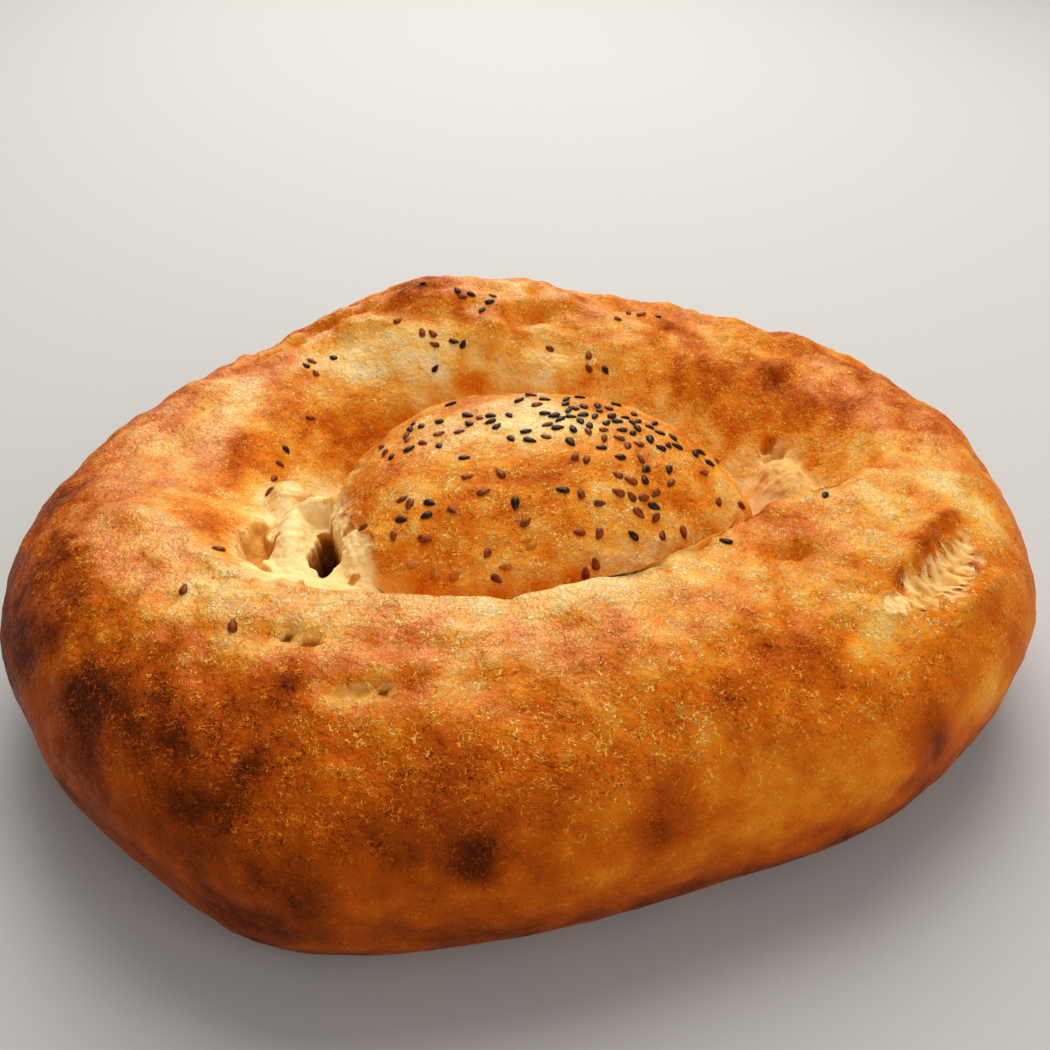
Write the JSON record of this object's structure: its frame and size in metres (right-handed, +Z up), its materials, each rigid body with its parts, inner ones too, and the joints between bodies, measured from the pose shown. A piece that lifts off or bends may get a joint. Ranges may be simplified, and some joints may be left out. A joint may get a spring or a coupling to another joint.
{
  "type": "pide bread",
  "caption": "Round flat loaf with a puffed golden-brown rim, a torn hollow and a domed middle strewn with black and brown sesame seeds.",
  "frame": {"origin": "on the flat underside, under the middle of the loaf, where it rests on the table", "axes": "+Z up; +X to the right and -Y towards the viewer, as the loaf lies in the picture"},
  "size_m": [0.253, 0.2373, 0.0652],
  "materials": {
    "crust": "baked golden to deep brown bread crust, satin, with pale crumb where it is torn and black and brown sesame on it"
  },
  "bodies": {
    "root": {"loaf": "crust"}
  },
  "joints": []
}
